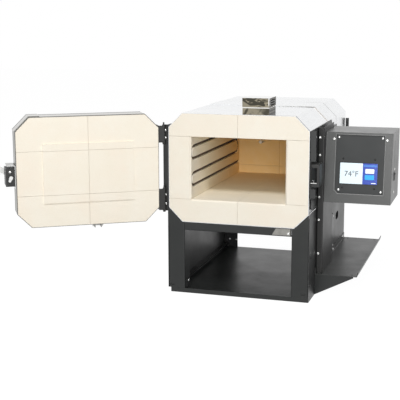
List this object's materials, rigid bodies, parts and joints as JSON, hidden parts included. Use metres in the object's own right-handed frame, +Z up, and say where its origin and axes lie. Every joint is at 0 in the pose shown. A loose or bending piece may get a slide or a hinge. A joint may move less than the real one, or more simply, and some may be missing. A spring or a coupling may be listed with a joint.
{
  "type": "heat treat oven",
  "caption": "Brick-lined box furnace in an eight-sided steel case on an open stand, with a side-hinged door, side shelf and touch-screen control box.",
  "frame": {"origin": "middle of the stand's underside, on the bench or floor", "axes": "+Z up, the door side faces -Y, +X to the control box"},
  "size_m": [0.9366, 0.7784, 0.5009],
  "materials": {
    "powder_black": "fine satin powder coat",
    "side_panel_coat": "fine satin powder coat",
    "case_steel": "fine grained stainless",
    "polished_steel": "mirror polished",
    "chamber_brick": "porous light firebrick",
    "door_brick": "porous light firebrick",
    "fibre_board": "pressed fibre",
    "element_wire": "oxidised resistance wire",
    "ceramic": "fired ceramic",
    "brass": "turned",
    "connector": "moulded",
    "back_steel": "plain sheet",
    "box_coat": "satin powder coat",
    "face_coat": "satin powder coat",
    "screen_glass": "lit display",
    "board_green": "circuit board",
    "black_plastic": "moulded",
    "grey_plastic": "moulded",
    "door_steel": "plain sheet",
    "plain_steel": "turned or pressed",
    "latch_coat": "satin powder coat",
    "lever_plastic": "moulded",
    "screw_steel": "zinc plated"
  },
  "bodies": {
    "oven": {"access_cover": "side_panel_coat", "back_wall_bricks": "chamber_brick", "case_back_board": "fibre_board", "case_back_cover": "back_steel", "case_front_wrap": "case_steel", "case_middle_band": "case_steel", "case_rear_wrap": "case_steel", "catch_bar": "plain_steel", "catch_bracket": "powder_black", "control_board": "board_green", "control_box": "box_coat", "control_box_back": "box_coat", "control_bracket": "powder_black", "control_faceplate": "face_coat", "element_bushings": "ceramic", "element_connectors": "brass", "hearth_bricks": "chamber_brick", "hinge_frames": "latch_coat", "hinge_pins": "latch_coat", "large_screws": "screw_steel", "left_element": "element_wire", "left_wall_bricks": "chamber_brick", "medium_screws": "screw_steel", "power_relay": "black_plastic", "rail_plate": "plain_steel", "right_element": "element_wire", "right_wall_bricks": "chamber_brick", "roof_bricks": "chamber_brick", "shelf_gussets": "powder_black", "side_shelf": "powder_black", "small_screws": "screw_steel", "stand_front_rail": "powder_black", "stand_left_panel": "side_panel_coat", "stand_left_post": "powder_black", "stand_rear_rail": "powder_black", "stand_right_panel": "side_panel_coat", "stand_right_post": "powder_black", "stand_tray": "powder_black", "switch_body": "black_plastic", "terminal_block": "grey_plastic", "terminal_cover": "powder_black", "thermocouple_head": "connector", "thermocouple_tube": "ceramic", "top_box_base": "polished_steel", "top_box_lid": "polished_steel", "touch_screen": "screen_glass"},
    "door": {"door_bricks": "door_brick", "door_board": "fibre_board", "door_plate": "door_steel", "door_band": "door_steel", "door_band_lap": "door_steel", "door_clamp_screw": "plain_steel", "hinge_leaves": "latch_coat", "latch_mount": "plain_steel", "latch_housing": "latch_coat", "door_screws": "screw_steel"},
    "latch": {"latch_spindle": "plain_steel", "latch_pawl": "plain_steel", "latch_lever": "plain_steel"},
    "rocker": {"switch_rocker": "black_plastic"}
  },
  "joints": [
    {"name": "door_hinge", "type": "hinge", "parent": "oven", "child": "door", "pos_m": [-0.1905, -0.26303, 0.3225], "axis": [0, 0, 1], "range_deg": [-28, 147]},
    {"name": "latch_turn", "type": "hinge", "parent": "door", "child": "latch", "pos_m": [-0.52405, -0.44804, 0.314], "axis": [-0.5446, 0.8387, 0], "range_deg": [0, 70]},
    {"name": "power_switch", "type": "hinge", "parent": "oven", "child": "rocker", "pos_m": [0.36185, -0.10353, 0.301], "axis": [0, -1, 0], "range_deg": [0, 20]}
  ]
}
